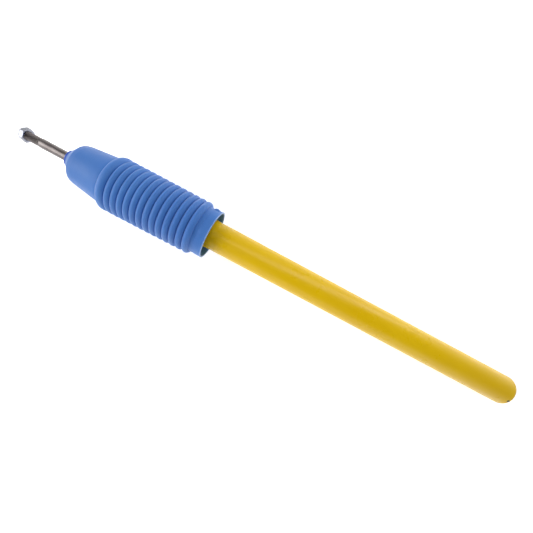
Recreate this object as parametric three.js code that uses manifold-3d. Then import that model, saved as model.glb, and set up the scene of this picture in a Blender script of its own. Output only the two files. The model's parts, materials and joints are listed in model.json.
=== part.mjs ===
// Upside-down gas strut insert: a sliding chromed damper in a closed outer tube, with a rubber dust boot.
// Millimetres. +X runs along the axis from the outer tube's closed end to the mounting pin, and +Z is up
// as the insert lies. The origin is the centre of the closed end's face.
import * as THREE from 'three';
import { mergeVertices } from 'three/addons/utils/BufferGeometryUtils.js';
import Module from 'manifold-3d';

const wasm = await Module();
wasm.setup();

// ---------- driving dimensions ----------
const GAP = 0.3; // between pieces that rest on each other
const ROUND = 32; // sides of the pieces that fit in one another
const COARSE = 24; // sides of the boot and of the small pieces

const TUBE_R = 21; // outer tube
const TUBE_BORE_R = 19;
const TUBE_TOP = 515;
const END_EDGE_R = 8; // rounding of the closed end's edge

const DAMPER_R = 17; // damper tube, which slides in the outer tube
const DAMPER_BORE_R = 15;
const DAMPER_BOTTOM = 250;
const DAMPER_TOP = 684;

const ROD_R = 5.5;
const ROD_STUD_R = 4; // the rod's reduced end, which carries the piston
const PISTON_SEAT = 285; // shoulder of the rod under the piston

const PIN_R = 6.5;
const THREAD_R = 5.85; // M12 x 1.5
const PIN_SHOULDER = 752.6;
const PIN_END = 780.6;

const NUT_FLATS = 18;
const NUT_SEAT = 772.5;
const NUT_HEX_END = 779;
const NUT_END = 781;
const NUT_TURN_DEG = -14; // as the nut was left, from a corner pointing along +Y

const RIBS = 14;
const RIB_CREST_R = 39.9;
const RIB_VALLEY_R = 34.6;
const RIB_PITCH_TOP = 9.1; // the ribs are a little wider towards the boot's mouth
const RIB_PITCH_BOTTOM = 10;
const FIRST_VALLEY = 627.7; // between the first rib and the second
const BOOT_TOP = 709;
const BOOT_MOUTH = 484.6;
const BOOT_WALL = 2;

const BUMP_STOP_BOTTOM = 640;
const GAS_PISTON_BOTTOM = 450;
const GUIDE_BOTTOM = 254;
const GUIDE_TOP = 276;

// ---------- materials ----------
const paint = { color: 0xd4ac18, roughness: 0.35, metalness: 0.1 };
const boot = { color: 0x5f8bcb, roughness: 0.6, metalness: 0 };
const bareSteel = { color: 0x948b88, roughness: 0.35, metalness: 1 };
const zinc = { color: 0xd8dade, roughness: 0.3, metalness: 1 };
const chrome = { color: 0xd0d2d6, roughness: 0.1, metalness: 1 };
const aluminium = { color: 0xb4b7ba, roughness: 0.4, metalness: 1 };
const sinteredSteel = { color: 0x6f6f70, roughness: 0.6, metalness: 0.9 };
const bronze = { color: 0x9a6f3c, roughness: 0.45, metalness: 0.8 };
const blackRubber = { color: 0x1b1b1c, roughness: 0.8, metalness: 0 };
const foam = { color: 0xc9b37c, roughness: 0.9, metalness: 0 };
const bandPlastic = { color: 0x2f3a34, roughness: 0.7, metalness: 0 };
const nylon = { color: 0xe6e4da, roughness: 0.5, metalness: 0 };

// ---------- geometry helpers ----------

// A solid of revolution round the X axis. Points are [x, radius], and the outline closes on itself.
// Half a side's turn puts a flat, not an edge, at the bottom.
function revolve(points, sides = ROUND) {
  const outline = [...points, points[0]].map(([x, r]) => new THREE.Vector2(r, x));
  const geometry = new THREE.LatheGeometry(outline, sides, Math.PI / sides);
  return turnToAxis(geometry);
}

// Lathes and extrusions are made along Y or Z, and then laid along X.
function turnToAxis(geometry) {
  return geometry.applyMatrix4(new THREE.Matrix4().set(0, 1, 0, 0, 0, 0, 1, 0, 1, 0, 0, 0, 0, 0, 0, 1));
}

function ring(from, to, inner, outer, sides) {
  return revolve([[from, inner], [from, outer], [to, outer], [to, inner]], sides);
}

// An outline in the YZ plane, drawn out along X.
function bar(shape, from, to) {
  const geometry = new THREE.ExtrudeGeometry(shape, { depth: to - from, bevelEnabled: false, curveSegments: 8 });
  return turnAlong(geometry).translate(from, 0, 0);
}

function turnAlong(geometry) {
  return geometry.applyMatrix4(new THREE.Matrix4().set(0, 0, 1, 0, 1, 0, 0, 0, 0, 1, 0, 0, 0, 0, 0, 1));
}

function hexagon(acrossFlats) {
  const corner = acrossFlats / Math.sqrt(3);
  const corners = Array.from({ length: 6 }, (_, k) => {
    const angle = (k * Math.PI) / 3;
    return new THREE.Vector2(corner * Math.cos(angle), corner * Math.sin(angle));
  });
  return new THREE.Shape(corners);
}

function solid(geometry) {
  const bare = geometry.clone();
  bare.deleteAttribute('normal');
  bare.deleteAttribute('uv');
  const merged = mergeVertices(bare, 1e-4);
  const vertProperties = new Float32Array(merged.attributes.position.array);
  const triVerts = new Uint32Array(merged.index.array);
  return new wasm.Manifold(new wasm.Mesh({ numProp: 3, vertProperties, triVerts }));
}

function geometryOf(manifold) {
  const { numProp, vertProperties, triVerts } = manifold.getMesh();
  const positions = new Float32Array((vertProperties.length / numProp) * 3);
  for (let v = 0; v < positions.length / 3; v += 1) {
    positions.set(vertProperties.subarray(v * numProp, v * numProp + 3), v * 3);
  }
  const geometry = new THREE.BufferGeometry();
  geometry.setAttribute('position', new THREE.BufferAttribute(positions, 3));
  geometry.setIndex(new THREE.BufferAttribute(new Uint32Array(triVerts), 1));
  geometry.computeVertexNormals();
  return geometry;
}

function cut(body, ...tools) {
  return geometryOf(tools.reduce((rest, tool) => rest.subtract(solid(tool)), solid(body)));
}

// Holes along X, evenly spaced on a circle.
function holesOnCircle(count, pitchRadius, holeRadius, from, to) {
  return Array.from({ length: count }, (_, k) => {
    const angle = ((k + 0.5) * 2 * Math.PI) / count;
    return revolve([[from, 0], [from, holeRadius], [to, holeRadius], [to, 0]], 12)
      .translate(0, pitchRadius * Math.cos(angle), pitchRadius * Math.sin(angle));
  });
}

// A quarter circle of [x, radius] points round a centre, from one angle to another in degrees.
function arc(centreX, centreR, radius, fromDeg, toDeg, steps) {
  return Array.from({ length: steps + 1 }, (_, k) => {
    const angle = THREE.MathUtils.degToRad(fromDeg + ((toDeg - fromDeg) * k) / steps);
    return [centreX + radius * Math.cos(angle), centreR + radius * Math.sin(angle)];
  });
}

// A hexagon nut with both ends chamfered, bored for its thread.
function hexNut(from, to, acrossFlats, boreRadius, collar = []) {
  const chamfer = 0.9;
  const face = acrossFlats * 0.475;
  const corner = acrossFlats * 0.6;
  const rise = (corner - face) * Math.tan(Math.PI / 6);
  const turned = revolve(
    [[from, 0], [from, face], [from + rise, corner], [to - rise, corner], [to, face], [to, 0]],
    COARSE,
  );
  const blank = solid(bar(hexagon(acrossFlats), from - chamfer, to + chamfer)).intersect(solid(turned));
  const withCollar = collar.reduce((sum, piece) => sum.add(solid(piece)), blank);
  const bore = revolve([[from - 1, 0], [from - 1, boreRadius], [to + 9, boreRadius], [to + 9, 0]], COARSE);
  return geometryOf(withCollar.subtract(solid(bore)));
}

// ---------- outer tube and what is fixed in it ----------

function outerTube() {
  return ring(END_EDGE_R + GAP, TUBE_TOP, TUBE_BORE_R, TUBE_R);
}

const SPIGOT_TOP = 24;
const SOCKET_R = 4.3;
const SOCKET_BOTTOM = 11;

function endCap() {
  const spigotR = TUBE_BORE_R - 0.15;
  return revolve([
    [0, 0],
    ...arc(END_EDGE_R, TUBE_R - END_EDGE_R, END_EDGE_R, 180, 90, 6),
    [END_EDGE_R, spigotR],
    [SPIGOT_TOP - 1.5, spigotR],
    [SPIGOT_TOP, spigotR - 1.5],
    [SPIGOT_TOP, SOCKET_R],
    [SOCKET_BOTTOM, SOCKET_R],
    [SOCKET_BOTTOM, 0],
  ]);
}

const CAP_R = 22.6;
const CAP_TOP = 520;
const CAP_BOTTOM = 502;

function wiperCap() {
  return revolve([
    [CAP_BOTTOM, TUBE_R + 0.15],
    [CAP_BOTTOM, CAP_R],
    [CAP_TOP - 1.5, CAP_R],
    [CAP_TOP, CAP_R - 1.5],
    [CAP_TOP, DAMPER_R + 0.8],
    [TUBE_TOP + GAP, DAMPER_R + 0.8],
    [TUBE_TOP + GAP, TUBE_R + 0.15],
  ]);
}

function wiperSeal() {
  const lip = DAMPER_R + 0.15;
  const outer = TUBE_BORE_R - 0.15;
  return revolve([
    [506, DAMPER_R + 0.9], [506, outer], [TUBE_TOP, outer], [TUBE_TOP, DAMPER_R + 0.7],
    [512.5, lip], [511.5, lip], [509.5, DAMPER_R + 0.9],
  ]);
}

function slideBush(from, to) {
  return ring(from, to, DAMPER_R + 0.2, TUBE_BORE_R - 0.15);
}

function pistonRod() {
  const studFoot = SOCKET_R - 0.3;
  return revolve([
    [SOCKET_BOTTOM + 1, 0],
    [SOCKET_BOTTOM + 1, studFoot - 1],
    [SOCKET_BOTTOM + 2, studFoot],
    [36, studFoot],
    [36, ROD_R - 0.6],
    [36.6, ROD_R],
    [PISTON_SEAT, ROD_R],
    [PISTON_SEAT, ROD_STUD_R],
    [319.2, ROD_STUD_R],
    [320, ROD_STUD_R - 0.8],
    [320, 0],
  ], COARSE);
}

function piston() {
  const bandDepth = 0.9;
  const outer = 14.6;
  const body = revolve([
    [288.5, ROD_STUD_R + 0.15], [288.5, outer - 0.8], [289.3, outer], [291, outer], [291, outer - bandDepth],
    [303.6, outer - bandDepth], [303.6, outer], [305.7, outer], [306.5, outer - 0.8],
    [306.5, ROD_STUD_R + 0.15],
  ]);
  return cut(body, ...holesOnCircle(6, 9.2, 1.5, 287, 308));
}

// ---------- sliding damper ----------

function damperTube() {
  const chamfer = 0.5;
  return revolve([
    [DAMPER_BOTTOM, DAMPER_BORE_R], [DAMPER_BOTTOM, DAMPER_R - chamfer], [DAMPER_BOTTOM + chamfer, DAMPER_R],
    [DAMPER_TOP, DAMPER_R], [DAMPER_TOP, DAMPER_BORE_R],
  ]);
}

const PLUG_TOP = 688;
const PLUG_SOCKET = 672;

function topPlug() {
  return revolve([
    [668, 0], [668, DAMPER_BORE_R - 1.2], [669, DAMPER_BORE_R - 0.2], [DAMPER_TOP + GAP, DAMPER_BORE_R - 0.2],
    [DAMPER_TOP + GAP, DAMPER_R], [PLUG_TOP - 1, DAMPER_R], [PLUG_TOP, DAMPER_R - 1],
    [PLUG_TOP, PIN_R + 0.2], [PLUG_SOCKET, PIN_R + 0.2], [PLUG_SOCKET, 0],
  ]);
}

function topPin() {
  return revolve([
    [PLUG_SOCKET + GAP, 0],
    [PLUG_SOCKET + GAP, PIN_R],
    [PIN_SHOULDER - 0.1, PIN_R],
    [PIN_SHOULDER, PIN_R - 0.1],
    [PIN_SHOULDER, THREAD_R],
    [PIN_END - 1.2, THREAD_R],
    [PIN_END, THREAD_R - 1.2],
    [PIN_END, 0],
  ]);
}

function rodGuide() {
  const outer = DAMPER_BORE_R - 0.15;
  const bore = ROD_R + 0.12;
  const sealPocket = 10;
  return revolve([
    [GUIDE_BOTTOM, sealPocket], [GUIDE_BOTTOM, outer - 0.6], [GUIDE_BOTTOM + 0.6, outer], [262, outer],
    [262, outer - 1.9], [265, outer - 1.9], [265, outer], [GUIDE_TOP, outer], [GUIDE_TOP, bore],
    [261, bore], [261, sealPocket],
  ]);
}

function snapRing() {
  const shape = new THREE.Shape();
  const open = 0.35;
  shape.absarc(0, 0, 14.7, open, 2 * Math.PI - open, false);
  shape.absarc(0, 0, 12.4, 2 * Math.PI - open, open, true);
  shape.closePath();
  return bar(shape, 251.4, 253.4);
}

function bumpStop() {
  const inner = DAMPER_R + 0.4;
  return revolve([
    [BUMP_STOP_BOTTOM, inner + 1], [BUMP_STOP_BOTTOM, 21], [BUMP_STOP_BOTTOM + 3, 23.5],
    [651, 24.5], [655, 21.5], [659, 25.5], [668, 25.5], [672, 22], [676, 25], [684, 24.5], [687.9, 23],
    [687.9, inner], [BUMP_STOP_BOTTOM + 1, inner],
  ], COARSE);
}

function gasPiston() {
  const outer = 14.7;
  const from = GAS_PISTON_BOTTOM;
  return revolve([
    [from, 0], [from, outer - 0.8], [from + 0.8, outer],
    [from + 3, outer], [from + 3, outer - 1.7], [from + 6, outer - 1.7], [from + 6, outer],
    [from + 8, outer], [from + 8, outer - 0.9], [from + 13, outer - 0.9], [from + 13, outer],
    [from + 15, outer], [from + 15, 11.5], [from + 6.5, 10.5], [from + 6.5, 0],
  ]);
}

function oRing(middle, inner, outer) {
  const radius = (outer - inner) / 2;
  return revolve(arc(middle, inner + radius, radius, 360, 45, 7), COARSE);
}

// ---------- dust boot ----------

// Rubber hangs a little to one side of the pin: nothing at the neck, most at the first ribs.
const BOOT_LEAN = 2;
const BOOT_MOUTH_LEAN = 0.9;
const LEAN_START = 700;

function lean(x) {
  if (x > LEAN_START) return 0;
  if (x > FIRST_VALLEY) return (BOOT_LEAN * (LEAN_START - x)) / (LEAN_START - FIRST_VALLEY);
  const along = (FIRST_VALLEY - x) / (FIRST_VALLEY - BOOT_MOUTH);
  return BOOT_LEAN + (BOOT_MOUTH_LEAN - BOOT_LEAN) * along;
}

// The valleys' places, from the one above the first rib to the one below the last.
function valleys() {
  const places = [FIRST_VALLEY + 13, FIRST_VALLEY];
  for (let k = 1; k < RIBS - 1; k += 1) {
    const pitch = THREE.MathUtils.lerp(RIB_PITCH_TOP, RIB_PITCH_BOTTOM, (k - 1) / (RIBS - 3));
    places.push(places[places.length - 1] - pitch);
  }
  places.push(places[places.length - 1] - RIB_PITCH_BOTTOM);
  return places;
}

function leaning(outline) {
  const geometry = revolve(outline, COARSE);
  const position = geometry.attributes.position;
  for (let v = 0; v < position.count; v += 1) {
    position.setY(v, position.getY(v) + lean(position.getX(v)));
  }
  return solid(geometry);
}

// The surface that the insert lies on: under the closed end's edge, and FLATTENED into the lowest rib.
const FLATTENED = 1.3;
const REST_RIB_X = 508;
const SURFACE_SLOPE = (RIB_CREST_R - FLATTENED - TUBE_R) / (REST_RIB_X - END_EDGE_R);

// What is left of a boot's solid above that surface, or above one a little higher.
function aboveSurface(boot, height) {
  const across = Math.hypot(1, SURFACE_SLOPE);
  const level = -TUBE_R + SURFACE_SLOPE * END_EDGE_R + height;
  return boot.trimByPlane([SURFACE_SLOPE / across, 0, 1 / across], level / across);
}

// Rubber gives a little: the ribs that the insert lies on are pressed flat, wall and all.
function bootGeometry() {
  const places = valleys();
  const last = places[places.length - 1];
  const outside = [
    [BOOT_TOP, 0], [BOOT_TOP, 11.2], [BOOT_TOP - 1, 12.2], [703.5, 12.2],
    [703, 14.8], [700, 18], [696, 22], [692, 26], [688.5, 28.2], [684, 29.2], [668, 31.4], [646, 34.4],
  ];
  const inside = [
    [BOOT_TOP + 1, 0], [BOOT_TOP + 1, PIN_R + GAP],
    [702, PIN_R + GAP], [699.5, 13.5], [694, 20.5], [689, 25.6], [684, 27.2], [668, 29.4], [646, 32.4],
  ];
  places.slice(1).forEach((bottom, k) => {
    const top = places[k];
    const middle = (top + bottom) / 2;
    const half = (top - bottom) / 2;
    outside.push(
      [middle + 0.35 * half, RIB_CREST_R],
      [middle - 0.35 * half, RIB_CREST_R],
      [bottom, RIB_VALLEY_R],
    );
    inside.push([middle, RIB_CREST_R - BOOT_WALL], [bottom, RIB_VALLEY_R - BOOT_WALL]);
  });
  outside.push(
    [492, 35.2], [BOOT_MOUTH + 2.5, 35.3], [BOOT_MOUTH + 1.2, 35.9], [BOOT_MOUTH, 35.9], [BOOT_MOUTH, 0],
  );
  inside.pop();
  inside.push([last, 33], [BOOT_MOUTH, 33.4], [BOOT_MOUTH - 1, 33.4], [BOOT_MOUTH - 1, 0]);
  const body = aboveSurface(leaning(outside.reverse()), 0);
  const hollow = aboveSurface(leaning(inside.reverse()), BOOT_WALL);
  return geometryOf(body.subtract(hollow));
}

// ---------- the assembly ----------

const strutInsert = new THREE.Group();

function place(name, geometry, finish) {
  const mesh = new THREE.Mesh(geometry, new THREE.MeshStandardMaterial(finish));
  mesh.name = name;
  strutInsert.add(mesh);
  return mesh;
}

place('outer_tube', outerTube(), paint);
place('end_cap', endCap(), paint);
place('wiper_cap', wiperCap(), zinc);
place('wiper_seal', wiperSeal(), blackRubber);
place('upper_bush', slideBush(470, 504), bronze);
place('lower_bush', slideBush(326, 360), bronze);
place('piston_rod', pistonRod(), chrome);
place('rod_lock_nut', hexNut(SPIGOT_TOP + GAP, SPIGOT_TOP + 7.3, 15, SOCKET_R + 0.05), zinc);

place('rebound_stop', ring(GUIDE_TOP + GAP, PISTON_SEAT - GAP, ROD_R + 0.2, 12, COARSE), blackRubber);
place('lower_support_washer', ring(285.3, 286.8, ROD_STUD_R + 0.15, 10), bareSteel);
place('compression_shims', ring(287.1, 288.2, ROD_STUD_R + 0.15, 12.2), bareSteel);
place('piston', piston(), sinteredSteel);
place('piston_band', ring(291.3, 303.3, 13.95, DAMPER_BORE_R - 0.15), bandPlastic);
place('rebound_shims', ring(306.8, 308, ROD_STUD_R + 0.15, 11.8), bareSteel);
place('upper_support_washer', ring(308.3, 309.8, ROD_STUD_R + 0.15, 9), bareSteel);
place('piston_nut', hexNut(310.1, 316.9, 13, ROD_STUD_R + 0.15), zinc);

place('damper_tube', damperTube(), chrome);
place('rod_guide', rodGuide(), aluminium);
place('rod_seal', ring(GUIDE_BOTTOM + GAP, 260.7, ROD_R + 0.12, 9.8, COARSE), blackRubber);
place('guide_o_ring', oRing(263.5, 13.1, DAMPER_BORE_R - 0.15), blackRubber);
place('guide_clip', snapRing(), bareSteel);
place('gas_piston', gasPiston(), aluminium);
place('gas_piston_o_ring', oRing(GAS_PISTON_BOTTOM + 4.5, 13.15, DAMPER_BORE_R - 0.15), blackRubber);
place(
  'gas_piston_band',
  ring(GAS_PISTON_BOTTOM + 8.3, GAS_PISTON_BOTTOM + 12.7, 13.95, DAMPER_BORE_R - 0.15),
  bandPlastic,
);
place('top_plug', topPlug(), bareSteel);
place('top_pin', topPin(), bareSteel);
place('bump_stop_plate', ring(PLUG_TOP + GAP, PLUG_TOP + 2.3, PIN_R + 0.2, 22.5, COARSE), zinc);
place('bump_stop', bumpStop(), foam);
place('dust_boot', bootGeometry(), boot);

const collar = revolve([
  [NUT_HEX_END - 1, 0], [NUT_HEX_END - 1, 8.3], [NUT_END - 0.6, 8.3], [NUT_END, 7.7], [NUT_END, 6.8],
  [NUT_END - 0.4, 6.8], [NUT_END - 0.4, 7.5], [NUT_HEX_END - 0.6, 7.5], [NUT_HEX_END - 0.6, 0],
], COARSE);
const nut = hexNut(NUT_SEAT, NUT_HEX_END, NUT_FLATS, THREAD_R + 0.3, [collar]);
place('hex_nut', nut.rotateX(THREE.MathUtils.degToRad(NUT_TURN_DEG)), zinc);
const lockRing = ring(NUT_HEX_END + 0.2, NUT_END - 0.6, THREAD_R + 0.2, 7.3, COARSE);
place('nut_lock_ring', lockRing, nylon);

export default strutInsert;
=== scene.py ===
import json
import math

import bpy
from mathutils import Matrix, Vector, noise


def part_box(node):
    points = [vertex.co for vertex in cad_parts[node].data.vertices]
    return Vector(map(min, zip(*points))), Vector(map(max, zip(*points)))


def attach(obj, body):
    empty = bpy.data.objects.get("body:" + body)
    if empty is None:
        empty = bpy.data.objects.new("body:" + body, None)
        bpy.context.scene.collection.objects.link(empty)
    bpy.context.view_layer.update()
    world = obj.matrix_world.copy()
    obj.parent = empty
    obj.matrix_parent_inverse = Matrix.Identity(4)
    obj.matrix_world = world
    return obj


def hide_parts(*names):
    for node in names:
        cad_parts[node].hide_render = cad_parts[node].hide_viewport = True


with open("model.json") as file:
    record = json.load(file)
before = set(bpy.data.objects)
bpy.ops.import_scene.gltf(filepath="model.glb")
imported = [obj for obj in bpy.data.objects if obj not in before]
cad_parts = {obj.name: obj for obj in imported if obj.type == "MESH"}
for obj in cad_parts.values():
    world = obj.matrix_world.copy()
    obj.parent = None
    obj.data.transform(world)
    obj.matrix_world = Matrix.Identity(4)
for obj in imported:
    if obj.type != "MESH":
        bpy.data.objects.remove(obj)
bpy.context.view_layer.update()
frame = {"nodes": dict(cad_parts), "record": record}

# The looks of a strut insert that lies on a pale floor: its tube, sliding damper, rubber boot, pin and nut.
# Sizes are in millimetres in the part's frame, where X runs along the axis, and Blender works in metres.
MM = 0.001
TURN = 2 * math.pi


# ---------- sizes ----------

def box_mm(node):
    """The low and high corners of a CAD node's box in the frame."""
    low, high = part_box(node)
    return low / MM, high / MM


TUBE_R = 21.0
TUBE_BORE_R = 19.0
TUBE_TOP = box_mm("outer_tube")[1].x
END_EDGE_R = 8.0  # the rounding of the closed end's edge
SEAM = END_EDGE_R + 0.1  # between the closed end and the tube
SEAM_DEPTH = 0.18
SPIGOT_R = TUBE_BORE_R - 0.15
SPIGOT_TOP = 24.0
ROD_SOCKET_R = 4.3
ROD_SOCKET_FLOOR = 11.0
CHIP_AT = (7.0, 10.6, 18.1)  # where the enamel is chipped, on the rounded edge
CHIP_R = 2.1

CAP_BOTTOM, CAP_TOP = (corner.x for corner in box_mm("wiper_cap"))
CAP_R = 22.6
CAP_SKIRT_BORE_R = TUBE_R + 0.08
CAP_INSIDE = TUBE_TOP + 0.3
WIPER_BOTTOM = 506.0
WIPER_R = TUBE_BORE_R - 0.1

DAMPER_R = 17.0
DAMPER_BORE_R = 15.0
DAMPER_BOTTOM, DAMPER_TOP = (corner.x for corner in box_mm("damper_tube"))

PLUG_BOTTOM = 668.0
PLUG_TOP = box_mm("top_plug")[1].x
PLUG_SPIGOT_R = 14.8
PLUG_SHOULDER = DAMPER_TOP + 0.15
PLUG_SOCKET = 672.0
PLATE_BOTTOM, PLATE_TOP = (corner.x for corner in box_mm("bump_stop_plate"))
PLATE_R = 22.4
STOP_BOTTOM, STOP_TOP = (corner.x for corner in box_mm("bump_stop"))

PIN_R = 6.5
PIN_HOLE_R = PIN_R + 0.2  # in the plug and the plate
PIN_FOOT, PIN_END = (corner.x for corner in box_mm("top_pin"))
PIN_SHOULDER = 752.6
PIN_NECK_R = 5.3  # between the shoulder and the thread
THREAD_START = 755.0
THREAD_TOP = PIN_END - 1.2
THREAD_PITCH = 1.5
THREAD_CREST_R = 5.97
THREAD_ROOT_R = 5.1
THREAD_CREST_SHARE = 0.125  # of half a pitch, as the flank's share is
THREAD_FLANK_SHARE = 0.7

NUT_SEAT, NUT_END = (corner.x for corner in box_mm("hex_nut"))
NUT_FLATS = 18.0
NUT_FACE_R = NUT_FLATS * 0.47  # the flat face inside the chamfer
NUT_CORNER_R = NUT_FLATS * 0.568  # the corners, just turned off
NUT_BLANK_R = NUT_FLATS * 0.6  # past every corner
NUT_HEX_END = 779.0
NUT_TURN = math.radians(14)
NUT_BORE_R = 6.12
NUT_COLLAR_R = 8.3
NUT_COLLAR_LIP_R = 6.8
RING_GROOVE_R = 7.4
NYLON_R = 7.3
NYLON_BORE_R = 6.05

BOOT_MOUTH, BOOT_TOP = (corner.x for corner in box_mm("dust_boot"))
BOOT_WALL = 2.0
BOOT_COLLAR_LENGTH = 8.0
BOOT_COLLAR_R = 12.2
BOOT_HOLE_R = PIN_R + 0.15
SKIRT_R = 35.4
SKIRT_BORE_R = 33.5
MOUTH_RIM_R = 35.9
RIM_HIGHLIGHT_LENGTH = 0.9  # the mouth's rim is painted paler along this length, a painted highlight
RIBS = 14
RIB_CREST_R = 39.9
RIB_VALLEY_R = 34.6
RIB_PITCH_TOP = 9.1
RIB_PITCH_BOTTOM = 10.0
FIRST_VALLEY = 627.7
FIRST_RIB_LENGTH = 13.0
NECK_SHADE_FROM = 703.0  # above it, the rubber is painted a deeper blue, painted shade on the neck's collar
LEAN_START = 700.0
LEAN_AT_RIBS = 2.0
LEAN_AT_MOUTH = 0.9


# ---------- mesh helpers ----------

def finished(name, points, faces, body, finish, replaced=(), sharp_deg=38):
    """A smooth-shaded piece from points in millimetres, riding on a body. Edges past sharp_deg stay sharp."""
    mesh = bpy.data.meshes.new(name)
    mesh.from_pydata([Vector(p) * MM for p in points], [], faces)
    mesh.validate()
    mesh.shade_smooth()
    mesh.set_sharp_from_angle(angle=math.radians(sharp_deg))
    mesh.materials.append(finish)
    piece = bpy.data.objects.new(name, mesh)
    bpy.context.scene.collection.objects.link(piece)
    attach(piece, body)
    if replaced:
        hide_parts(*replaced)
    return piece


def on_axis(x, r, angle):
    """A point at that radius, with the angle from +Z towards +Y."""
    return (x, r * math.sin(angle), r * math.cos(angle))


def turned(outline, sides=96, shape=on_axis, start=0.0):
    """Points and faces of an outline of (x, radius) turned round the X axis. The outline closes on itself.

    shape(x, r, angle) may move a point off the plain circle. It also gets any value after a point's radius.
    """
    points, rings = [], []
    for x, r, *more in outline:
        if r < 1e-6:
            rings.append([len(points)] * sides)
            points.append((x, 0.0, 0.0))
        else:
            rings.append(range(len(points), len(points) + sides))
            points += [shape(x, r, start + TURN * k / sides, *more) for k in range(sides)]
    faces = []
    for here, there in zip(rings, [*rings[1:], rings[0]]):
        for k in range(sides):
            after = (k + 1) % sides
            corners = list(dict.fromkeys((here[k], here[after], there[after], there[k])))
            if len(corners) > 2:
                faces.append(corners)
    return points, faces


def rounded(corners, steps=4):
    """An outline with rounded corners. Each corner is (x, r) or (x, r, radius of the rounding)."""
    outline = []
    count = len(corners)
    for k, corner in enumerate(corners):
        here = Vector(corner[:2])
        radius = corner[2] if len(corner) > 2 else 0.0
        if not radius:
            outline.append(tuple(here))
            continue
        before = (Vector(corners[k - 1][:2]) - here).normalized()
        after = (Vector(corners[(k + 1) % count][:2]) - here).normalized()
        half = before.angle(after) / 2
        start = here + before * radius / math.tan(half)
        end = here + after * radius / math.tan(half)
        centre = here + (before + after).normalized() * radius / math.sin(half)
        from_centre = start - centre
        sweep = from_centre.angle_signed(end - centre)
        for step in range(steps + 1):
            turn = Matrix.Rotation(-sweep * step / steps, 2)
            outline.append(tuple(centre + turn @ from_centre))
    return outline


# ---------- material helpers ----------

def linear(red, green, blue):
    """A colour of 0 to 255, as on a screen, in the shader's linear terms."""
    channels = []
    for value in (red, green, blue):
        share = value / 255
        channels.append(share / 12.92 if share <= 0.04045 else ((share + 0.055) / 1.055) ** 2.4)
    return (*channels, 1.0)


def new_finish(name, colour, roughness, metallic=0.0):
    finish = bpy.data.materials.new(name)
    finish.use_nodes = True
    shader = finish.node_tree.nodes["Principled BSDF"]
    shader.inputs["Base Color"].default_value = colour
    shader.inputs["Roughness"].default_value = roughness
    shader.inputs["Metallic"].default_value = metallic
    return finish, shader


def noise_in(finish, scale, stretch=(1, 1, 1), detail=4.0, low=0.35, high=0.65):
    """Noise of 0 to 1 over the object's own coordinates, with the contrast set by low and high."""
    nodes, links = finish.node_tree.nodes, finish.node_tree.links
    coordinates = nodes.new("ShaderNodeTexCoord")
    mapping = nodes.new("ShaderNodeMapping")
    mapping.inputs["Scale"].default_value = stretch
    texture = nodes.new("ShaderNodeTexNoise")
    texture.inputs["Scale"].default_value = scale
    texture.inputs["Detail"].default_value = detail
    spread = nodes.new("ShaderNodeMapRange")
    spread.inputs["From Min"].default_value = low
    spread.inputs["From Max"].default_value = high
    links.new(coordinates.outputs["Object"], mapping.inputs["Vector"])
    links.new(mapping.outputs["Vector"], texture.inputs["Vector"])
    links.new(texture.outputs["Fac"], spread.inputs["Value"])
    return spread.outputs["Result"]


def above_x(finish, x):
    """1 on the pin's side of a place along the axis, and 0 on the other side."""
    nodes, links = finish.node_tree.nodes, finish.node_tree.links
    coordinates = nodes.new("ShaderNodeTexCoord")
    parts = nodes.new("ShaderNodeSeparateXYZ")
    past = nodes.new("ShaderNodeMath")
    past.operation = "GREATER_THAN"
    past.inputs[1].default_value = x * MM
    links.new(coordinates.outputs["Object"], parts.inputs["Vector"])
    links.new(parts.outputs["X"], past.inputs[0])
    return past.outputs["Value"]


def chipped(finish, place, radius):
    """1 in a ragged spot round a place in millimetres, and 0 elsewhere."""
    nodes, links = finish.node_tree.nodes, finish.node_tree.links
    coordinates = nodes.new("ShaderNodeTexCoord")
    away = nodes.new("ShaderNodeVectorMath")
    away.operation = "DISTANCE"
    away.inputs[1].default_value = Vector(place) * MM
    ragged = nodes.new("ShaderNodeMath")
    ragged.operation = "MULTIPLY_ADD"
    ragged.inputs[1].default_value = radius * MM * 0.5
    ragged.inputs[2].default_value = radius * MM * 0.6
    inside = nodes.new("ShaderNodeMath")
    inside.operation = "LESS_THAN"
    links.new(coordinates.outputs["Object"], away.inputs[0])
    links.new(noise_in(finish, 700), ragged.inputs[0])
    links.new(away.outputs["Value"], inside.inputs[0])
    links.new(ragged.outputs["Value"], inside.inputs[1])
    return inside.outputs["Value"]


def blend_colour(finish, share, first, second):
    """A colour between two, each a tuple or another node's output."""
    nodes, links = finish.node_tree.nodes, finish.node_tree.links
    mix = nodes.new("ShaderNodeMix")
    mix.data_type = "RGBA"
    for socket, value in (("A", first), ("B", second)):
        target = next(s for s in mix.inputs if s.name == socket and s.type == "RGBA")
        if isinstance(value, tuple):
            target.default_value = value
        else:
            links.new(value, target)
    links.new(share, mix.inputs["Factor"])
    return next(s for s in mix.outputs if s.type == "RGBA")


def vary_colour(finish, shader, share, first, second):
    finish.node_tree.links.new(blend_colour(finish, share, first, second), shader.inputs["Base Color"])


def vary_roughness(finish, shader, share, low, high):
    nodes, links = finish.node_tree.nodes, finish.node_tree.links
    spread = nodes.new("ShaderNodeMapRange")
    spread.inputs["To Min"].default_value = low
    spread.inputs["To Max"].default_value = high
    links.new(share, spread.inputs["Value"])
    links.new(spread.outputs["Result"], shader.inputs["Roughness"])


def add_bump(finish, shader, *layers):
    """Bump from layers of (height, depth in millimetres), one over the other."""
    nodes, links = finish.node_tree.nodes, finish.node_tree.links
    normal = None
    for height, depth in layers:
        bump = nodes.new("ShaderNodeBump")
        bump.inputs["Distance"].default_value = depth * MM
        links.new(height, bump.inputs["Height"])
        if normal:
            links.new(normal, bump.inputs["Normal"])
        normal = bump.outputs["Normal"]
    links.new(normal, shader.inputs["Normal"])


# ---------- materials ----------

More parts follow.
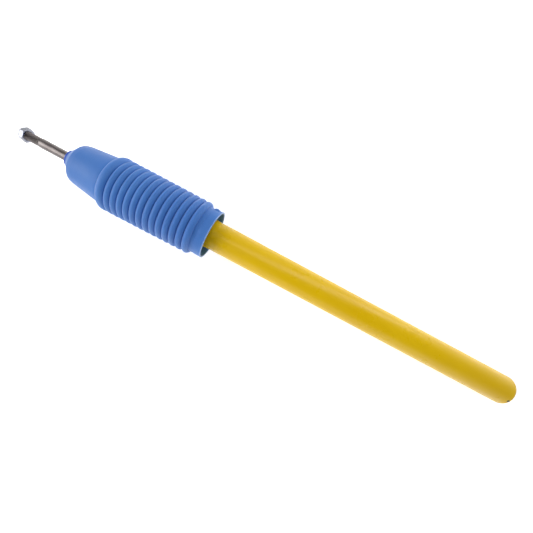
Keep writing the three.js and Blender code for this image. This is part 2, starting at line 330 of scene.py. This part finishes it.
DRAWN_ALONG = (1.0, 14.0, 14.0)  # noise drawn out along the axis
DRAWN_ROUND = (60.0, 1.0, 1.0)  # noise drawn out round the axis, as turning marks are


def yellow_enamel():
    finish, shader = new_finish("yellow_enamel", linear(229, 187, 9), 0.3)
    mottle = noise_in(finish, 9, detail=3)
    enamel = blend_colour(finish, mottle, linear(227, 184, 7), linear(232, 191, 14))
    vary_colour(finish, shader, chipped(finish, CHIP_AT, CHIP_R), enamel, linear(70, 74, 42))
    vary_roughness(finish, shader, noise_in(finish, 30, detail=5), 0.26, 0.36)
    add_bump(finish, shader, (noise_in(finish, 420, detail=2), 0.02), (noise_in(finish, 90, detail=2), 0.04))
    shader.inputs["Specular IOR Level"].default_value = 0.34
    return finish


def blue_rubber():
    finish, shader = new_finish("blue_rubber", linear(66, 121, 199), 0.55)
    bloom = noise_in(finish, 14, detail=5)
    body_blue = blend_colour(finish, bloom, linear(62, 117, 195), linear(70, 126, 203))
    # The mouth's rim is painted a paler blue: a painted highlight on the lit rim.
    past_rim_highlight = above_x(finish, BOOT_MOUTH + RIM_HIGHLIGHT_LENGTH)
    body_with_rim_highlight = blend_colour(finish, past_rim_highlight, linear(128, 164, 222), body_blue)
    # Above the neck the collar is painted a deeper blue: painted shade.
    vary_colour(finish, shader, above_x(finish, NECK_SHADE_FROM), body_with_rim_highlight, linear(36, 84, 190))
    vary_roughness(finish, shader, noise_in(finish, 45, detail=4), 0.5, 0.62)
    add_bump(finish, shader, (noise_in(finish, 900, detail=3), 0.05), (noise_in(finish, 60, detail=3), 0.12))
    shader.inputs["Specular IOR Level"].default_value = 0.35
    shader.inputs["Sheen Weight"].default_value = 0.25
    shader.inputs["Sheen Roughness"].default_value = 0.45
    return finish


def bare_steel():
    finish, shader = new_finish("bare_steel", linear(122, 116, 115), 0.38, 1.0)
    stain = noise_in(finish, 60, detail=6)
    vary_colour(finish, shader, stain, linear(113, 106, 105), linear(131, 125, 123))
    vary_roughness(finish, shader, noise_in(finish, 120, stretch=DRAWN_ROUND), 0.32, 0.46)
    add_bump(finish, shader, (noise_in(finish, 240, stretch=DRAWN_ROUND, detail=2), 0.015))
    return finish


def zinc_plate():
    finish, shader = new_finish("zinc_plate", linear(146, 148, 157), 0.3, 1.0)
    cloud = noise_in(finish, 150, detail=5)
    vary_colour(finish, shader, cloud, linear(138, 140, 149), linear(154, 156, 164))
    vary_roughness(finish, shader, noise_in(finish, 300, detail=4), 0.2, 0.36)
    add_bump(finish, shader, (noise_in(finish, 700, detail=2), 0.02))
    return finish


def hard_chrome():
    finish, shader = new_finish("hard_chrome", linear(214, 216, 220), 0.1, 1.0)
    haze = noise_in(finish, 20, stretch=DRAWN_ALONG, detail=5)
    vary_colour(finish, shader, haze, linear(206, 208, 213), linear(222, 224, 228))
    vary_roughness(finish, shader, haze, 0.06, 0.14)
    add_bump(finish, shader, (noise_in(finish, 300, stretch=DRAWN_ROUND, detail=2), 0.004))
    return finish


def aluminium():
    finish, shader = new_finish("aluminium", linear(196, 198, 200), 0.35, 1.0)
    vary_colour(finish, shader, noise_in(finish, 90), linear(186, 188, 191), linear(206, 208, 209))
    vary_roughness(finish, shader, noise_in(finish, 160, stretch=DRAWN_ROUND), 0.28, 0.45)
    add_bump(finish, shader, (noise_in(finish, 260, stretch=DRAWN_ROUND, detail=2), 0.012))
    return finish


def sintered_steel():
    finish, shader = new_finish("sintered_steel", linear(112, 112, 114), 0.6, 0.9)
    vary_colour(finish, shader, noise_in(finish, 500), linear(92, 92, 95), linear(128, 128, 128))
    add_bump(finish, shader, (noise_in(finish, 1500, detail=3), 0.04))
    return finish


def bronze():
    finish, shader = new_finish("bronze", linear(160, 118, 66), 0.4, 1.0)
    vary_colour(finish, shader, noise_in(finish, 70), linear(140, 98, 52), linear(172, 130, 78))
    add_bump(finish, shader, (noise_in(finish, 300, stretch=DRAWN_ALONG, detail=2), 0.015))
    return finish


def black_rubber():
    finish, shader = new_finish("black_rubber", linear(30, 30, 31), 0.6)
    vary_colour(finish, shader, noise_in(finish, 120), linear(24, 24, 25), linear(42, 42, 43))
    add_bump(finish, shader, (noise_in(finish, 900, detail=3), 0.04))
    return finish


def bump_foam():
    finish, shader = new_finish("bump_foam", linear(201, 179, 124), 0.85)
    vary_colour(finish, shader, noise_in(finish, 260, detail=5), linear(186, 162, 104), linear(212, 192, 140))
    add_bump(finish, shader, (noise_in(finish, 1400, detail=4), 0.15))
    return finish


def band_plastic():
    finish, shader = new_finish("band_plastic", linear(47, 58, 52), 0.55)
    vary_colour(finish, shader, noise_in(finish, 400), linear(40, 50, 45), linear(58, 68, 61))
    add_bump(finish, shader, (noise_in(finish, 800), 0.02))
    return finish


def nylon():
    finish, shader = new_finish("nylon", linear(228, 226, 214), 0.45)
    vary_colour(finish, shader, noise_in(finish, 200), linear(220, 217, 203), linear(234, 232, 222))
    add_bump(finish, shader, (noise_in(finish, 900), 0.02))
    shader.inputs["Subsurface Weight"].default_value = 0.15
    shader.inputs["Subsurface Scale"].default_value = 0.001
    return finish


FINISHES = {
    "yellow_paint": yellow_enamel(),
    "blue_rubber": blue_rubber(),
    "bare_steel": bare_steel(),
    "zinc_plate": zinc_plate(),
    "hard_chrome": hard_chrome(),
    "aluminium": aluminium(),
    "sintered_steel": sintered_steel(),
    "bronze": bronze(),
    "black_rubber": black_rubber(),
    "bump_foam": bump_foam(),
    "band_plastic": band_plastic(),
    "nylon": nylon(),
}


# ---------- every CAD node gets its finish ----------

for subpart in frame["record"]["subparts"]:
    node = frame["nodes"][subpart["node"]]
    slot = subpart["material_slot"]
    node.data.materials.clear()
    node.data.materials.append(FINISHES[slot])


# ---------- turned pieces, which stand for CAD nodes ----------

def lathe_piece(name, outline, body, slot, replaced, sides=96, shape=on_axis, sharp_deg=38):
    """A piece turned from an outline, in the finish of its slot."""
    points, faces = turned(outline, sides, shape)
    return finished(name, points, faces, body, FINISHES[slot], replaced, sharp_deg)


# ---------- outer tube ----------

def end_arc(steps=14):
    """The closed end's rounded edge, from the end face to the tube's wall."""
    centre_r = TUBE_R - END_EDGE_R
    angles = [math.pi - math.pi / 2 * k / steps for k in range(steps + 1)]
    return [(END_EDGE_R + END_EDGE_R * math.cos(a), centre_r + END_EDGE_R * math.sin(a)) for a in angles]


lathe_piece(
    "closed_end",
    [
        (0, 0), *end_arc(), (SEAM - 0.02, TUBE_R), (SEAM + 0.04, TUBE_R - SEAM_DEPTH),
        (SEAM + 0.04, SPIGOT_R), (SPIGOT_TOP - 1.5, SPIGOT_R), (SPIGOT_TOP, SPIGOT_R - 1.5),
        (SPIGOT_TOP, ROD_SOCKET_R), (ROD_SOCKET_FLOOR, ROD_SOCKET_R), (ROD_SOCKET_FLOOR, 0),
    ],
    "tube_body", "yellow_paint", ["end_cap"], sides=128,
)

lathe_piece(
    "tube",
    rounded([
        (SEAM + 0.1, TUBE_BORE_R), (SEAM + 0.1, TUBE_R, 0.12), (TUBE_TOP, TUBE_R, 0.4),
        (TUBE_TOP, TUBE_BORE_R, 0.3),
    ]),
    "tube_body", "yellow_paint", ["outer_tube"], sides=128,
)

lathe_piece(
    "mouth_cap",
    rounded([
        (CAP_BOTTOM, CAP_SKIRT_BORE_R, 0.1), (CAP_BOTTOM, CAP_R, 0.5), (CAP_TOP, CAP_R, 1.5),
        (CAP_TOP, DAMPER_R + 0.8, 0.3), (CAP_INSIDE, DAMPER_R + 0.8), (CAP_INSIDE, CAP_SKIRT_BORE_R),
    ]),
    "tube_body", "zinc_plate", ["wiper_cap"],
)

lathe_piece(
    "mouth_wiper",
    rounded([
        (WIPER_BOTTOM, DAMPER_R + 0.9), (WIPER_BOTTOM, WIPER_R), (TUBE_TOP, WIPER_R, 0.2),
        (TUBE_TOP, DAMPER_R + 0.7, 0.2), (WIPER_BOTTOM + 6, DAMPER_R + 0.1, 0.2),
        (WIPER_BOTTOM + 3.5, DAMPER_R + 0.9),
    ]),
    "tube_body", "black_rubber", ["wiper_seal"],
)


# ---------- sliding damper ----------

lathe_piece(
    "chrome_tube",
    rounded([
        (DAMPER_BOTTOM, DAMPER_BORE_R), (DAMPER_BOTTOM, DAMPER_R, 0.5), (DAMPER_TOP, DAMPER_R, 0.3),
        (DAMPER_TOP, DAMPER_BORE_R),
    ]),
    "damper_body", "hard_chrome", ["damper_tube"],
)

lathe_piece(
    "welded_plug",
    rounded([
        (PLUG_BOTTOM, 0), (PLUG_BOTTOM, PLUG_SPIGOT_R, 1), (PLUG_SHOULDER, PLUG_SPIGOT_R),
        (PLUG_SHOULDER, DAMPER_R, 0.3), (PLUG_TOP, DAMPER_R, 1), (PLUG_TOP, PIN_HOLE_R, 0.3),
        (PLUG_SOCKET, PIN_HOLE_R), (PLUG_SOCKET, 0),
    ]),
    "damper_body", "bare_steel", ["top_plug"],
)

lathe_piece(
    "stop_plate",
    rounded([
        (PLATE_BOTTOM, PIN_HOLE_R, 0.2), (PLATE_BOTTOM, PLATE_R, 0.8), (PLATE_TOP, PLATE_R, 0.8),
        (PLATE_TOP, PIN_HOLE_R, 0.2),
    ]),
    "damper_body", "zinc_plate", ["bump_stop_plate"],
)

lathe_piece(
    "foam_stop",
    rounded([
        (STOP_BOTTOM, DAMPER_R + 0.4, 0.6), (STOP_BOTTOM, 20.8, 1.5), (STOP_BOTTOM + 4, 24, 2),
        (650, 24.4, 2.5), (655, 20.6, 2), (659, 25.2, 2.5), (668, 25.2, 2.5), (672, 21.2, 2),
        (676, 24.8, 2.5), (685, 24.2, 1.5), (STOP_TOP, 22.8, 1), (STOP_TOP, DAMPER_R + 0.4, 0.6),
    ]),
    "damper_body", "bump_foam", ["bump_stop"],
)


def thread_depth(x, angle):
    """How deep the helical thread is cut at a point: from 0 at a crest to 1 at a root, both with flats."""
    turn = (x / THREAD_PITCH - angle / TURN) % 1.0
    flank = abs(2 * turn - 1)
    return min(1.0, max(0.0, (flank - THREAD_CREST_SHARE) / THREAD_FLANK_SHARE))


def pin_shape(x, r, angle):
    """The thread is cut into the plain outline, and runs out over its first turn."""
    if THREAD_START < x < PIN_END - 0.01 and r > THREAD_ROOT_R:
        runout = min(1.0, (x - THREAD_START) / THREAD_PITCH)
        r = min(r, THREAD_CREST_R - (THREAD_CREST_R - THREAD_ROOT_R) * thread_depth(x, angle) * runout)
    return on_axis(x, r, angle)


RINGS_PER_PITCH = 14
THREAD_RINGS = int((THREAD_TOP - THREAD_START) / THREAD_PITCH * RINGS_PER_PITCH)
thread_outline = [
    (THREAD_START + (THREAD_TOP - THREAD_START) * k / THREAD_RINGS, THREAD_CREST_R)
    for k in range(THREAD_RINGS + 1)
]
shoulder = rounded([(PIN_FOOT, 0), (PIN_FOOT, PIN_R), (PIN_SHOULDER, PIN_R, 0.5), (PIN_SHOULDER, PIN_NECK_R)])
lathe_piece(
    "threaded_pin",
    [
        *shoulder, (THREAD_START - 0.7, PIN_NECK_R - 0.05), *thread_outline,
        (PIN_END - 0.5, 5.4), (PIN_END, 4.8), (PIN_END, 0),
    ],
    "damper_body", "bare_steel", ["top_pin"], sides=72, shape=pin_shape, sharp_deg=50,
)


# ---------- dust boot ----------

def lean(x):
    """How far the rubber hangs towards +Y."""
    if x > LEAN_START:
        return 0.0
    if x > FIRST_VALLEY:
        return LEAN_AT_RIBS * (LEAN_START - x) / (LEAN_START - FIRST_VALLEY)
    share = (FIRST_VALLEY - x) / (FIRST_VALLEY - BOOT_MOUTH)
    return LEAN_AT_RIBS + (LEAN_AT_MOUTH - LEAN_AT_RIBS) * share


# Soft rubber is never quite round: noise moves it in or out by up to this depth.
UNEVEN_DEPTH = 0.25
UNEVEN_LENGTH = 24.0  # along the axis, for each unit of the noise
UNEVEN_CIRCLE = 1.2  # the boot's radius in the noise's units

# The vent is a small hood on the skirt, with a dent in the rubber before its open end.
VENT_ANGLE = math.radians(-73)
VENT_HALF_ANGLE = math.radians(7.5)
DENT_X = 497.6
DENT_HALF_LENGTH = 1.9
DENT_DEPTH = 1.5
DENT_FROM_R = 34.0  # the dent is in the skirt's outside, which is past this radius

# The insert lies on its closed end's edge and on the boot's lowest ribs, which it presses a little flat.
FLATTENED = 1.3
REST_RIB_X = 508.0
FLOOR_SLOPE = (RIB_CREST_R - FLATTENED - TUBE_R) / (REST_RIB_X - END_EDGE_R)


def floor_z(x):
    """The height of the line that the insert lies on, at a place along the axis."""
    return -TUBE_R - (x - END_EDGE_R) * FLOOR_SLOPE


def boot_shape(x, r, angle, lift=0.0):
    """Uneven rubber with the vent's dent, leaning, and pressed flat at the floor or at a lift above it."""
    uneven = 0.0
    if x <= BOOT_TOP - BOOT_COLLAR_LENGTH:
        uneven = UNEVEN_DEPTH * noise.noise(on_axis(x / UNEVEN_LENGTH, UNEVEN_CIRCLE, angle))
    if r > DENT_FROM_R:
        along = (x - DENT_X) / DENT_HALF_LENGTH
        across = ((angle - VENT_ANGLE + math.pi) % TURN - math.pi) / VENT_HALF_ANGLE
        off_dent = along ** 2 + across ** 2
        uneven -= DENT_DEPTH * math.exp(-off_dent ** 2)
    _, y, z = on_axis(x, r + uneven, angle)
    return (x, y + lean(x), max(z, floor_z(x) + lift))


def valleys():
    """The valleys' places, from the one above the first rib to the one below the last."""
    places = [FIRST_VALLEY + FIRST_RIB_LENGTH, FIRST_VALLEY]
    for k in range(RIBS - 2):
        places.append(places[-1] - RIB_PITCH_TOP - (RIB_PITCH_BOTTOM - RIB_PITCH_TOP) * k / (RIBS - 3))
    places.append(places[-1] - RIB_PITCH_BOTTOM)
    return places


def rib_outline(top, bottom, steps=12):
    """One rib: a round crest between two sharp valleys."""
    outline = []
    for k in range(steps):
        q = math.cos(math.pi * k / steps)
        rise = math.sqrt(max(0.0, 1 - q * q))
        x = (top + bottom) / 2 + q * (top - bottom) / 2
        outline.append((x, RIB_VALLEY_R + (RIB_CREST_R - RIB_VALLEY_R) * rise))
    return outline


boot_places = valleys()
ribs = [p for top, bottom in zip(boot_places, boot_places[1:]) for p in rib_outline(top, bottom)]
cone = rounded([
    (BOOT_TOP, BOOT_HOLE_R, 0.3), (BOOT_TOP, BOOT_COLLAR_R, 2), (703.4, BOOT_COLLAR_R, 0.4),
    (703.2, 15.2, 0.5), (700.5, 17.2, 3), (690.5, 27.7, 5), (684, 29.2, 8), (668, 31.3),
    (656, 33, 10), (646, 34.3, 3), (boot_places[0] + 0.6, 34.7),
], steps=5)
LAST_VALLEY = boot_places[-1]
skirt = rounded([
    (LAST_VALLEY, 34.8), (LAST_VALLEY - 2, 34.75), (LAST_VALLEY - 4, 34.72), (LAST_VALLEY - 6, 34.7),
    (497, 34.95), (495.2, 35.15), (493.5, 35.3, 1), (488, SKIRT_R, 6), (BOOT_MOUTH + 2, SKIRT_R, 1),
    (BOOT_MOUTH + 1, MOUTH_RIM_R, 0.4), (BOOT_MOUTH, MOUTH_RIM_R, 0.4),
    (BOOT_MOUTH, SKIRT_BORE_R, 0.4), (BOOT_MOUTH + 3, SKIRT_BORE_R),
])
ribs_inside = [(x, r - BOOT_WALL, BOOT_WALL) for x, r in reversed(ribs)]
cone_inside = [
    (646, 32.3), (656, 31), (668, 29.3), (684, 27.1), (688.5, 25.6), (693, 21.5), (699.5, 13.8),
    (702, BOOT_HOLE_R),
]
lathe_piece(
    "boot_rubber",
    [*cone, *ribs, *skirt[:-1], (LAST_VALLEY - 4, 32.9), *ribs_inside, *cone_inside],
    "damper_body", "blue_rubber", ["dust_boot"], sides=160, shape=boot_shape, sharp_deg=60,
)


# ---------- the vent on the boot's skirt ----------

VENT_FROM, VENT_TO = 488.2, 496.2
VENT_RISE = 2.0
VENT_SKIN = 0.45
VENT_BASE_R = 35.15  # the skirt's radius under the hood
VENT_RAMP_SHARE = 0.625  # of its length, over which the hood rises


def vent_height(along, across):
    """The hood's height above the skirt: closed at its low end, and open at its high end."""
    ramp = math.sin(min(1.0, along / VENT_RAMP_SHARE) * math.pi / 2)
    return VENT_RISE * ramp * math.sqrt(max(0.0, 1 - across * across))


def vent_layer(offset, steps):
    """The hood's outside as a grid of points, or its inside at an offset below that."""
    layer = []
    for i in range(steps + 1):
        for j in range(steps + 1):
            along = i / steps
            across = math.sin(math.pi * (j / steps - 0.5))
            x = VENT_FROM + (VENT_TO - VENT_FROM) * along
            r = VENT_BASE_R + vent_height(along, across) - offset
            layer.append(boot_shape(x, r, VENT_ANGLE + across * VENT_HALF_ANGLE))
    return layer


def vent_hood(steps=10):
    """The hood's two layers, joined along their edges."""
    row = steps + 1
    layers = row * row
    points = vent_layer(0.0, steps) + vent_layer(VENT_SKIN, steps)
    faces = []
    for i in range(steps):
        for j in range(steps):
            a = i * row + j
            faces.append((a, a + 1, a + row + 1, a + row))
            faces.append((a + layers, a + row + layers, a + row + 1 + layers, a + 1 + layers))
    edge = [i * row for i in range(steps)]
    edge += [steps * row + j for j in range(steps)]
    edge += [i * row + steps for i in range(steps, 0, -1)]
    edge += list(range(steps, 0, -1))
    for a, b in zip(edge, [*edge[1:], edge[0]]):
        faces.append((a, b, b + layers, a + layers))
    return points, faces


vent_points, vent_faces = vent_hood()
finished(
    "boot_vent", vent_points, vent_faces, "damper_body", FINISHES["blue_rubber"], sharp_deg=60,
)


# ---------- nut ----------

CHAMFER_SLOPE = math.tan(math.radians(30))


def hexagon_r(angle):
    """The hexagon's radius at an angle."""
    from_flat = (angle - NUT_TURN + math.pi / 6) % (math.pi / 3) - math.pi / 6
    return min(NUT_FLATS / 2 / math.cos(from_flat), NUT_CORNER_R)


def nut_shape(x, r, angle):
    """The outline is that of a round blank, and comes in to the hexagon where it is past it."""
    return on_axis(x, min(r, hexagon_r(angle)), angle)


def nut_piece(chamfer_steps=8):
    """A chamfered hexagon with a round collar, grooved inside for the nylon ring."""
    width = NUT_BLANK_R - NUT_FACE_R
    lower = [
        (NUT_SEAT + width * CHAMFER_SLOPE * k / chamfer_steps, NUT_FACE_R + width * k / chamfer_steps)
        for k in range(chamfer_steps + 1)
    ]
    upper = [(NUT_SEAT + NUT_HEX_END - x, r) for x, r in reversed(lower)]
    collar = rounded([
        (NUT_HEX_END, 8.6), (NUT_HEX_END, NUT_COLLAR_R, 0.2), (NUT_END, NUT_COLLAR_R, 0.9),
        (NUT_END, NUT_COLLAR_LIP_R, 0.25), (NUT_HEX_END + 1.6, NUT_COLLAR_LIP_R),
        (NUT_HEX_END + 1.6, RING_GROOVE_R),
    ])
    outline = [
        (NUT_SEAT + 0.6, NUT_BORE_R), (NUT_SEAT, NUT_BORE_R + 0.5), *lower, *upper, *collar[1:],
        (NUT_HEX_END - 0.1, RING_GROOVE_R), (NUT_HEX_END - 0.1, NUT_BORE_R),
    ]
    return turned(outline, 144, nut_shape, NUT_TURN)


nut_points, nut_faces = nut_piece()
finished(
    "pin_nut", nut_points, nut_faces, "nut_body", FINISHES["zinc_plate"], ["hex_nut"],
    sharp_deg=25,
)
lathe_piece(
    "nylon_insert",
    rounded([
        (NUT_HEX_END + 0.1, NYLON_BORE_R, 0.2), (NUT_HEX_END + 0.1, NYLON_R),
        (NUT_HEX_END + 1.4, NYLON_R, 0.3), (NUT_HEX_END + 1.4, NYLON_BORE_R, 0.4),
    ]),
    "nut_body", "nylon", ["nut_lock_ring"], sides=72,
)


# ---------- floor, light and camera ----------

FLOOR_REACH = 6000.0
FLOOR_GAP = 0.1  # between the floor and the insert


def make_floor():
    """A plain floor that slopes as the insert's lower side does."""
    corners = [
        Vector((x, y, floor_z(x) - FLOOR_GAP)) * MM
        for x, y in ((-FLOOR_REACH, -FLOOR_REACH), (FLOOR_REACH, -FLOOR_REACH),
                     (FLOOR_REACH, FLOOR_REACH), (-FLOOR_REACH, FLOOR_REACH))
    ]
    mesh = bpy.data.meshes.new("floor")
    mesh.from_pydata(corners, [], [(0, 1, 2, 3)])
    finish, shader = new_finish("floor_white", linear(250, 250, 250), 0.9)
    shader.inputs["Emission Color"].default_value = (1, 1, 1, 1)
    shader.inputs["Emission Strength"].default_value = 0.6
    mesh.materials.append(finish)
    floor = bpy.data.objects.new("floor", mesh)
    bpy.context.scene.collection.objects.link(floor)


CAMERA_TILT = math.radians(1.784)
FRAME_TURN = math.radians(28.1514)  # between the part's axis and the picture's horizontal
CAMERA_AIM = Vector((396.5, 3.87, 0))
CAMERA_DISTANCE = 400.2
SENSOR_WIDTH = 36.0
FOCAL_SHARE = 0.52533  # the focal length over the frame's width

camera_back = Vector((math.sin(CAMERA_TILT), 0, math.cos(CAMERA_TILT)))
camera_level = Vector((-math.cos(CAMERA_TILT), 0, math.sin(CAMERA_TILT)))
camera_side = camera_back.cross(camera_level)
camera_right = camera_level * math.cos(FRAME_TURN) + camera_side * math.sin(FRAME_TURN)
camera_up = camera_back.cross(camera_right)


def make_camera():
    data = bpy.data.cameras.new("camera")
    data.sensor_width = SENSOR_WIDTH
    data.lens = SENSOR_WIDTH * FOCAL_SHARE
    data.clip_start, data.clip_end = 0.01, 50
    camera = bpy.data.objects.new("camera", data)
    place = (CAMERA_AIM + camera_back * CAMERA_DISTANCE) * MM
    turn = Matrix((camera_right, camera_up, camera_back)).transposed()
    camera.matrix_world = Matrix.Translation(place) @ turn.to_4x4()
    bpy.context.scene.collection.objects.link(camera)
    bpy.context.scene.camera = camera


def in_studio(right, up, height):
    """The vector of so many metres to the picture's right, towards its top, and upwards."""
    return camera_right * right + camera_up * up + Vector((0, 0, height))


def softbox(name, right, up, height, width, length, watts, aim=(0.0, 0.0), run=(1.0, 0.0, 0.0)):
    """A rectangular light, set off from the camera's aim in metres, that faces a point near that aim.

    aim is how far the point is to the picture's right and towards its top. The light's width lies along run.
    """
    foot = CAMERA_AIM * MM
    place = foot + in_studio(right, up, height)
    backwards = (place - foot - in_studio(*aim, 0)).normalized()
    along = in_studio(*run)
    along = (along - backwards * along.dot(backwards)).normalized()
    data = bpy.data.lights.new(name, "AREA")
    data.shape = "RECTANGLE"
    data.size, data.size_y = width, length
    data.energy = watts
    light = bpy.data.objects.new(name, data)
    turn = Matrix((along, backwards.cross(along), backwards)).transposed()
    light.matrix_world = Matrix.Translation(place) @ turn.to_4x4()
    bpy.context.scene.collection.objects.link(light)


def make_lights():
    softbox("softbox_key", right=-2.8, up=0.5, height=1.9, width=2.4, length=2.6, watts=77)
    softbox("softbox_left", right=-0.3, up=-1.6, height=0.5, width=2.4, length=0.9, watts=4, aim=(0.1, 0.0))
    softbox("softbox_strip", right=0.47, up=0.43, height=0.71, width=1.9, length=0.32, watts=6,
            run=(0.97, 0.34, -0.3))


def make_world():
    """A white studio, bright round the horizon and dark overhead."""
    world = bpy.data.worlds.new("studio")
    world.use_nodes = True
    nodes, links = world.node_tree.nodes, world.node_tree.links
    background = nodes["Background"]
    background.inputs["Color"].default_value = (1, 1, 1, 1)
    direction = nodes.new("ShaderNodeTexCoord")
    parts = nodes.new("ShaderNodeSeparateXYZ")
    falloff = nodes.new("ShaderNodeMapRange")
    falloff.interpolation_type = "SMOOTHSTEP"
    falloff.inputs["From Min"].default_value = 0.08
    falloff.inputs["From Max"].default_value = 0.7
    falloff.inputs["To Min"].default_value = 0.9
    falloff.inputs["To Max"].default_value = 0.03
    links.new(direction.outputs["Generated"], parts.inputs["Vector"])
    links.new(parts.outputs["Z"], falloff.inputs["Value"])
    links.new(falloff.outputs["Result"], background.inputs["Strength"])
    bpy.context.scene.world = world


make_floor()
make_camera()
make_lights()
make_world()
bpy.context.scene.view_settings.view_transform = "Standard"
